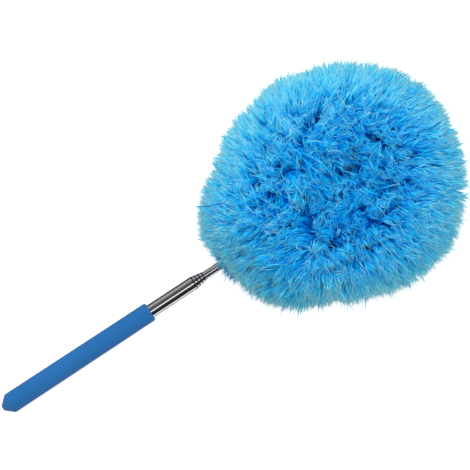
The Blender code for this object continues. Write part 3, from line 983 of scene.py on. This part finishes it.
def surface_clumps(dice):
    """Clumps over the whole pile: tips, ways that they point, roots, looseness and share of tone."""
    low_count = int(pile_clumps * underside_share)
    top = chosen_tips(dice, top_height, 1, pile_clumps - low_count)
    low = chosen_tips(dice, low_height, -1, low_count)
    tips, normal, inward = (np.concatenate(pair) for pair in zip(top, low))
    count = len(tips)

    from_centre = np.hypot(tips[:, 0] - centre_x, tips[:, 1] - centre_y)
    swerve = flow_scatter + centre_scatter * np.exp(-((from_centre / centre_calm) ** 2))
    flow = turned_about_z(combed_way(tips), dice.normal(0, 1, count) * swerve)
    low_share = np.where(normal[:, 2] > 0, (1 - inward) ** rim_droop_power, 1)
    flow[:, 2] = -droop_share - (rim_droop_share - droop_share) * low_share
    flow = square_to(flow, normal)
    lift = lift_inside + (lift_at_rim - lift_inside) * (1 - inward) + dice.normal(0, lift_scatter, count)
    way = unit(flow * np.cos(lift)[:, None] + normal * np.sin(lift)[:, None])

    centres = tips[dice.choice(count, tuft_count, replace=False)]
    tuft = np.argmin(((tips[:, None] - centres[None]) ** 2).sum(-1), axis=1)
    held = rim_tuft_share + (1 - rim_tuft_share) * inward
    pull = (centres[tuft] - tips) * held[:, None]
    tips = tips + pull * tuft_pull_share
    way = unit(way + dice.normal(0, tuft_swerve, (tuft_count, 3))[tuft] * held[:, None])

    places = np.linspace(cover_start + cover_gap, cover_end - cover_gap, root_places)
    distance = np.linalg.norm(tips[:, None] - on_spine(places)[None], axis=-1)
    middle = (distance.min(1) > middle_distance) & (inward == 1)
    choice = np.where(middle, middle_root_choice, root_choice)
    reach = places[np.argmin(distance + dice.gumbel(0, 1, distance.shape) * choice[:, None], axis=1)]

    share = np.where(middle, middle_undercoat_share, undercoat_share)
    deepest = np.where(middle, middle_undercoat_depth, undercoat_depth)
    under = np.where(dice.random(count) < share, dice.random(count) * deepest, 0)
    hollow = np.linalg.norm(pull, axis=1) * tuft_hollow_share
    depth = np.abs(dice.normal(0, tip_unevenness, count)) + under + hollow
    patches = tips[dice.choice(count, patch_count, replace=False)]
    change = dice.normal(0, patch_tone, patch_count)
    away = ((tips[:, None] - patches[None]) ** 2).sum(-1)
    shade = 1 + (change * np.exp(-away / patch_radius**2)).sum(1)
    return tips - normal * depth[:, None], way, reach, 1 - inward, shade


def collar_plan(dice):
    """Clumps that lie back round the ferrule."""
    turn = dice.uniform(0, math.tau, collar_clumps)
    away = dice.uniform(collar_low, collar_high, collar_clumps)
    side, up = np.cos(turn), np.sin(turn)
    x = dice.uniform(-collar_back, collar_front, collar_clumps)
    z = np.maximum(axis_height + away * up, floor_clearance + floor_press_depth)
    tips = np.stack([x, away * side, z], axis=-1)
    way = np.stack([np.full_like(x, -1.0), side * collar_splay, up * collar_splay], axis=-1)
    way = scattered(dice, way, collar_scatter)
    reach = cover_start + dice.uniform(0, collar_root, collar_clumps)
    return tips, way, reach, np.zeros(collar_clumps), np.ones(collar_clumps)


def core_plan(dice):
    """Clumps that cross the loop's middle below the pile's top, so that it has no hole, darkened as painted
    shade in the hollow.
    """
    loop_start = spine_length * loop_start_share
    reach = dice.uniform(loop_start, cover_end, core_clumps)
    root = on_spine(reach)
    core_x = dice.uniform(core_back_x, core_front_x, core_clumps)
    middle = np.stack([core_x, np.full(core_clumps, core_y), root[:, 2]], axis=-1)
    way = scattered(dice, unit(middle - root), core_scatter / core_beyond)
    tips = middle + way * dice.uniform(-1, 1, (core_clumps, 1)) * core_beyond
    tips = tips + dice.normal(0, core_scatter, (core_clumps, 3))
    tips[:, 2] = dice.uniform(core_low, core_high, core_clumps)
    # Painted shade: these clumps in the hollow get a darker tone
    return tips, way, reach, np.zeros(core_clumps), np.full(core_clumps, core_painted_shade)


def clump_plan(dice):
    """All clumps of the pile, with their roots kept on the covers."""
    groups = zip(surface_clumps(dice), collar_plan(dice), core_plan(dice))
    tips, way, reach, loose, shade = (np.concatenate(group) for group in groups)
    reach = reach + dice.normal(0, root_scatter, len(reach))
    reach = np.where(reach < cover_start, 2 * cover_start - reach, reach)
    reach = np.where(reach > cover_end, 2 * cover_end - reach, reach)
    return tips, way, reach, loose, shade


def waved(dice, count, size):
    """Slow sideways waves for strands, growing towards their tips."""
    t = np.linspace(0, 1, strand_rings)[None, :, None]
    phase = dice.uniform(0, math.tau, (count, 1, 3))
    rate = dice.uniform(wave_rate_least, wave_rate_most, (count, 1, 3))
    swing = dice.normal(0, 1, (count, 1, 3)) * size[:, None, None]
    return swing * t**wave_power * np.sin(phase + rate * t)


def strand_lines(dice, tips, way, reach, loose, shade, low, high):
    """Centre lines of the strands of some clumps, which share a path, and a tone for each strand."""
    count = len(tips)
    total = count * strands_per_clump
    clump = np.repeat(np.arange(count), strands_per_clump)
    own_reach = np.clip(reach[clump] + dice.normal(0, strand_spread, total), low, high)
    point, ahead, _, _ = along_spine(own_reach)
    normal = scattered(dice, square_to(tips[clump] - point, ahead), strand_turn)
    normal = square_to(normal, ahead)
    root = point + normal * (backing_radius - root_sink)

    own_way = scattered(dice, way[clump], strand_way_scatter)
    stray = dice.random(total) < stray_share
    back = np.abs(dice.normal(0, 1, total)) * strand_setback
    back -= loose[clump] * dice.random(total) ** setback_power * rim_setback
    back = np.where(stray, -dice.random(total) * stray_beyond, back)
    spread = strand_tip_spread * (1 + rim_spread_share * loose[clump])
    tip = tips[clump] + dice.normal(0, 1, (total, 3)) * spread[:, None] - own_way * back[:, None]
    span = np.linalg.norm(tip - root, axis=1, keepdims=True)
    one = root + normal * span * root_handle_share + dice.normal(0, handle_scatter, (total, 3))
    pull = np.clip(span * tip_handle_share, tip_handle_least, tip_handle_most)
    two = tip - own_way * pull + dice.normal(0, handle_scatter, (total, 3))
    line = curved(root, one, two, tip, np.linspace(0, 1, strand_rings)[None, :, None])
    line += waved(dice, count, np.full(count, clump_wave))[clump]
    line += waved(dice, total, np.where(stray, stray_wave, strand_wave))
    own_tone = dice.random(total) ** tone_power
    own_tone = own_tone * own_tone * (3 - 2 * own_tone)
    tone = clump_tone_share * dice.random(count)[clump] + (1 - clump_tone_share) * own_tone
    tone = np.where(stray, stray_tone + (1 - stray_tone) * tone, tone)
    # Painted light: strands near the outline are made paler
    return line, np.clip(tone * shade[clump] + rim_painted_light * loose[clump] ** rim_painted_light_power, 0, 1)


def over_pile(flat):
    """A level path brought just above the pile, bridging its hollows, from a sunken start."""
    t = np.linspace(0, 1, len(flat))
    height = top_height(flat[:, 0], flat[:, 1])
    chord = height[0] * (1 - t) + height[-1] * t + lock_arch * np.sin(math.pi * t)
    ease = np.clip(t / lock_ease_share, 0, 1)
    z = np.maximum(chord, height) + lock_rise * ease - lock_sink * (1 - ease)
    return np.concatenate([flat, z[:, None]], axis=1)


def long_strand_plan(dice):
    """Paths of the long strands that lie across the pile or curl on it, from their roots."""
    share = np.linspace(0, 1, lock_points)[:, None]
    paths = []
    for start, end, bow in long_locks:
        for _ in range(lock_strands):
            first = np.array(start) + dice.normal(0, lock_scatter, 2)
            last = np.array(end) + dice.normal(0, lock_end_scatter, 2)
            way = last - first
            side = unit(np.array([-way[1], way[0]])) * (bow + dice.normal(0, lock_scatter))
            paths.append(over_pile(first + way * share + side * np.sin(math.pi * share)))
    for centre, radius, first, sweep in curls:
        for _ in range(curl_strands):
            turn = np.radians(first + sweep * share)
            arm = (radius + dice.normal(0, curl_scatter)) * np.hstack([np.cos(turn), np.sin(turn)])
            paths.append(over_pile(np.array(centre) + dice.normal(0, curl_scatter, 2) + arm))
    paths = np.array(paths)
    places = np.linspace(cover_start + cover_length + 2 * cover_gap, cover_end - cover_gap, root_places)
    points, aheads, _, _ = along_spine(places)
    nearest = np.argmin(np.linalg.norm(paths[:, :1] - points[None], axis=-1), axis=1)
    start = paths[:, 0]
    normal = square_to(start - points[nearest], aheads[nearest])
    root = points[nearest] + normal * (backing_radius - root_sink)
    span = np.linalg.norm(start - root, axis=1, keepdims=True)
    one = root + normal * span * root_handle_share
    two = start - unit(paths[:, 1] - start) * span * root_handle_share
    rise = curved(root, one, two, start, np.linspace(0, 1, lock_root_points, endpoint=False)[None, :, None])
    return np.concatenate([rise, paths], axis=1), places[nearest]


def pile_mesh(name, line, tone, dice, radius_share=1.0):
    """Strands as fine three-sided tubes that taper to a point."""
    count, rings = line.shape[:2]
    height = line[..., 2]
    low = floor_clearance + floor_press_depth * dice.random(count)[:, None]
    height = np.where(height < low, low + (height - low) * floor_press_share, height)
    line[..., 2] = np.maximum(height, floor_clearance)
    steps = np.linalg.norm(np.diff(line, axis=1), axis=2)
    from_tip = np.concatenate([np.cumsum(steps[:, ::-1], axis=1)[:, ::-1], np.zeros((count, 1))], axis=1)
    ahead = unit(np.gradient(line, axis=1))
    side = unit(np.cross(ahead, unit(dice.normal(0, 1, (count, 1, 3)))))
    other = np.cross(ahead, side)
    taper = 1 - strand_taper * np.clip(1 - from_tip / strand_taper_length, 0, 1) ** taper_power
    own_share = dice.uniform(1 - strand_radius_spread, 1 + strand_radius_spread, (count, 1))
    radius = strand_radius * radius_share * own_share * taper
    turn = np.linspace(0, math.tau, strand_sides, endpoint=False)
    ring = side[:, :, None] * np.cos(turn)[:, None] + other[:, :, None] * np.sin(turn)[:, None]
    tubes = line[:, :-1, None] + ring[:, :-1] * radius[:, :-1, None, None]
    per = (rings - 1) * strand_sides + 1
    verts = np.concatenate([tubes.reshape(count, -1, 3), line[:, -1:, :]], axis=1).reshape(-1, 3)
    quads = ring_quads(rings - 1, strand_sides)
    last = (rings - 2) * strand_sides
    tris = [[last + edge, last + (edge + 1) % strand_sides, per - 1] for edge in range(strand_sides)]
    tris.append(list(range(strand_sides))[::-1])
    base = (np.arange(count) * per)[:, None, None]
    quads = (base + np.array(quads)[None]).reshape(-1, 4)
    tris = (base + np.array(tris)[None]).reshape(-1, 3)
    mesh = bpy.data.meshes.new(name)
    mesh.vertices.add(len(verts))
    mesh.vertices.foreach_set("co", verts.astype(np.float32).ravel())
    corners = np.concatenate([quads.ravel(), tris.ravel()])
    mesh.loops.add(len(corners))
    mesh.loops.foreach_set("vertex_index", corners.astype(np.int32))
    mesh.polygons.add(len(quads) + len(tris))
    starts = np.concatenate([np.arange(len(quads)) * 4, quads.size + np.arange(len(tris)) * 3])
    mesh.polygons.foreach_set("loop_start", starts.astype(np.int32))
    mesh.update(calc_edges=True)
    near_tip = np.clip(1 - from_tip / tone_length, 0, 1)
    near_tip = np.concatenate([np.repeat(near_tip[:, :-1], strand_sides, axis=1), near_tip[:, -1:]], axis=1)
    uv = np.stack([np.repeat(tone, per), near_tip.ravel()], axis=1)
    layer = mesh.uv_layers.new(name=bake_layer)
    layer.uv.foreach_set("vector", uv[corners].astype(np.float32).ravel())
    mesh.materials.append(looks["fibre_blue"])
    return added(name, mesh)


def cover_pile(cover, plan, long_lines, long_reaches):
    """The pile pieces of one cover: its own clumps, and the long strands that root on it."""
    dice = np.random.default_rng(strand_seed + 1 + cover)
    low = cover_start + cover * cover_length
    high = low + cover_length
    reaches = plan[2]
    own = np.flatnonzero((reaches >= low) & (reaches < high))
    layers = math.ceil(len(own) / clumps_per_piece)
    pieces = []
    for layer in range(layers):
        chosen = own[layer::layers]
        line, tone = strand_lines(dice, *(a[chosen] for a in plan), low + cover_gap, high - cover_gap)
        pieces.append(pile_mesh(f"microfibre_pile_{cover + 1}_{layer + 1}", line, tone, dice))
    chosen = np.flatnonzero((long_reaches >= low) & (long_reaches < high))
    if len(chosen):
        # Painted highlight: long strands and curls take a pale tone
        tone = lock_highlight_tone + (1 - lock_highlight_tone) * dice.random(len(chosen))
        name = f"long_strands_{cover + 1}"
        pieces.append(pile_mesh(name, long_lines[chosen], tone, dice, lock_radius_share))
    return pieces


plan = clump_plan(np.random.default_rng(strand_seed))
long_plan = long_strand_plan(np.random.default_rng(strand_seed))
for cover in range(cover_count):
    for pile in cover_pile(cover, plan, *long_plan):
        if cover:
            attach(pile, "head")
        else:
            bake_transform(pile)
        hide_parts(f"fibre_cover_{cover + 1}")


# Stage, light and camera


def stage_plane(name, x, y, level, used):
    """A flat stage piece that reaches x and y to each side of its middle."""
    corners = [(-x, -y, level), (x, -y, level), (x, y, level), (-x, y, level)]
    obj = smooth_mesh(name, corners, [[0, 1, 2, 3]], used)
    return obj


def plain_rays(tree):
    """1 for the rays that see the plain background: from the camera, off gloss or through glass."""
    path = add_node(tree, "LightPath").outputs
    glossy = maths(tree, "MAXIMUM", path["Is Camera Ray"], path["Is Glossy Ray"])
    return maths(tree, "MAXIMUM", glossy, path["Is Transmission Ray"])


def floor_material():
    """Pale floor: plain white to the camera, with the object's soft shadow kept."""
    m = Nodes("pale_floor", roughness=0.9)
    m.set("Base Color", floor_tone)
    strength = maths(m.tree, "MULTIPLY", plain_rays(m.tree), floor_glow)
    glow = m.add("Emission", {"Strength": strength})
    m.surface(m.add("AddShader", {0: m.shader.outputs[0], 1: glow.outputs[0]}))
    return m.material


def plain_world():
    """A white world: plain to the rays that see the background, and dimmer as a light."""
    world = bpy.data.worlds.new("studio")
    world.use_nodes = True
    tree = world.node_tree
    ground = tree.nodes["Background"]
    ground.inputs["Color"].default_value = (*white, 1.0)
    level = add_node(tree, "MapRange", {"Value": plain_rays(tree), "To Min": world_light, "To Max": 1.0})
    tree.links.new(level.outputs["Result"], ground.inputs["Strength"])
    return world


def hide(obj, *rays):
    """Hides an object from some kinds of ray."""
    for kind in rays:
        setattr(obj, f"visible_{kind}", False)


def area_light(name, centre, aim, size, power):
    """A soft light aimed at a point, which gloss doesn't show."""
    lamp = bpy.data.lights.new(name, "AREA")
    lamp.shape = "RECTANGLE"
    lamp.size, lamp.size_y = size
    lamp.energy = power
    obj = added(name, lamp)
    obj.location = centre
    obj.rotation_euler = (Vector(aim) - Vector(centre)).to_track_quat("-Z", "Y").to_euler()
    hide(obj, "camera", "glossy")


def card(name, level, centre, size, turn_x, turn_y):
    """A plain card that only shows in glossy surfaces."""
    made = bpy.data.materials.new(name)
    made.use_nodes = True
    tree = made.node_tree
    tree.nodes.clear()
    glow = add_node(tree, "Emission", {"Color": (level, level, level * card_coolness, 1.0)})
    add_node(tree, "OutputMaterial", {"Surface": glow.outputs[0]})
    obj = stage_plane(name, size[0] / 2, size[1] / 2, 0, made)
    obj.location = centre
    obj.rotation_euler = (math.radians(turn_x), math.radians(turn_y), 0)
    hide(obj, "camera", "diffuse", "shadow", "transmission")


def pole_card(name, level, lean, half_angle):
    """A card along the pole, square to the way in which it leans."""
    way = math.radians(lean)
    centre = (0, card_distance * math.sin(way), card_distance * math.cos(way))
    width = 2 * card_distance * math.tan(math.radians(half_angle))
    card(name, level, centre, (card_length, width), -lean, 0)


def top_camera():
    """The camera, which looks straight down."""
    camera = bpy.data.cameras.new("camera")
    camera.lens = camera.sensor_width * (camera_height - measured_height) / photo_width
    camera.clip_end = camera_reach
    eye = added("camera", camera)
    eye.location = (camera_x, camera_y, camera_height)
    eye.rotation_euler = (0, 0, math.radians(camera_turn))
    return eye


stage_plane("floor", floor_half, floor_half, floor_level, floor_material())
bpy.context.scene.world = plain_world()
for values in lights:
    area_light(*values)
for values in pole_cards:
    pole_card(*values)
for values in placed_cards:
    card(*values)
bpy.context.scene.camera = top_camera()
bpy.context.scene.view_settings.view_transform = "Standard"
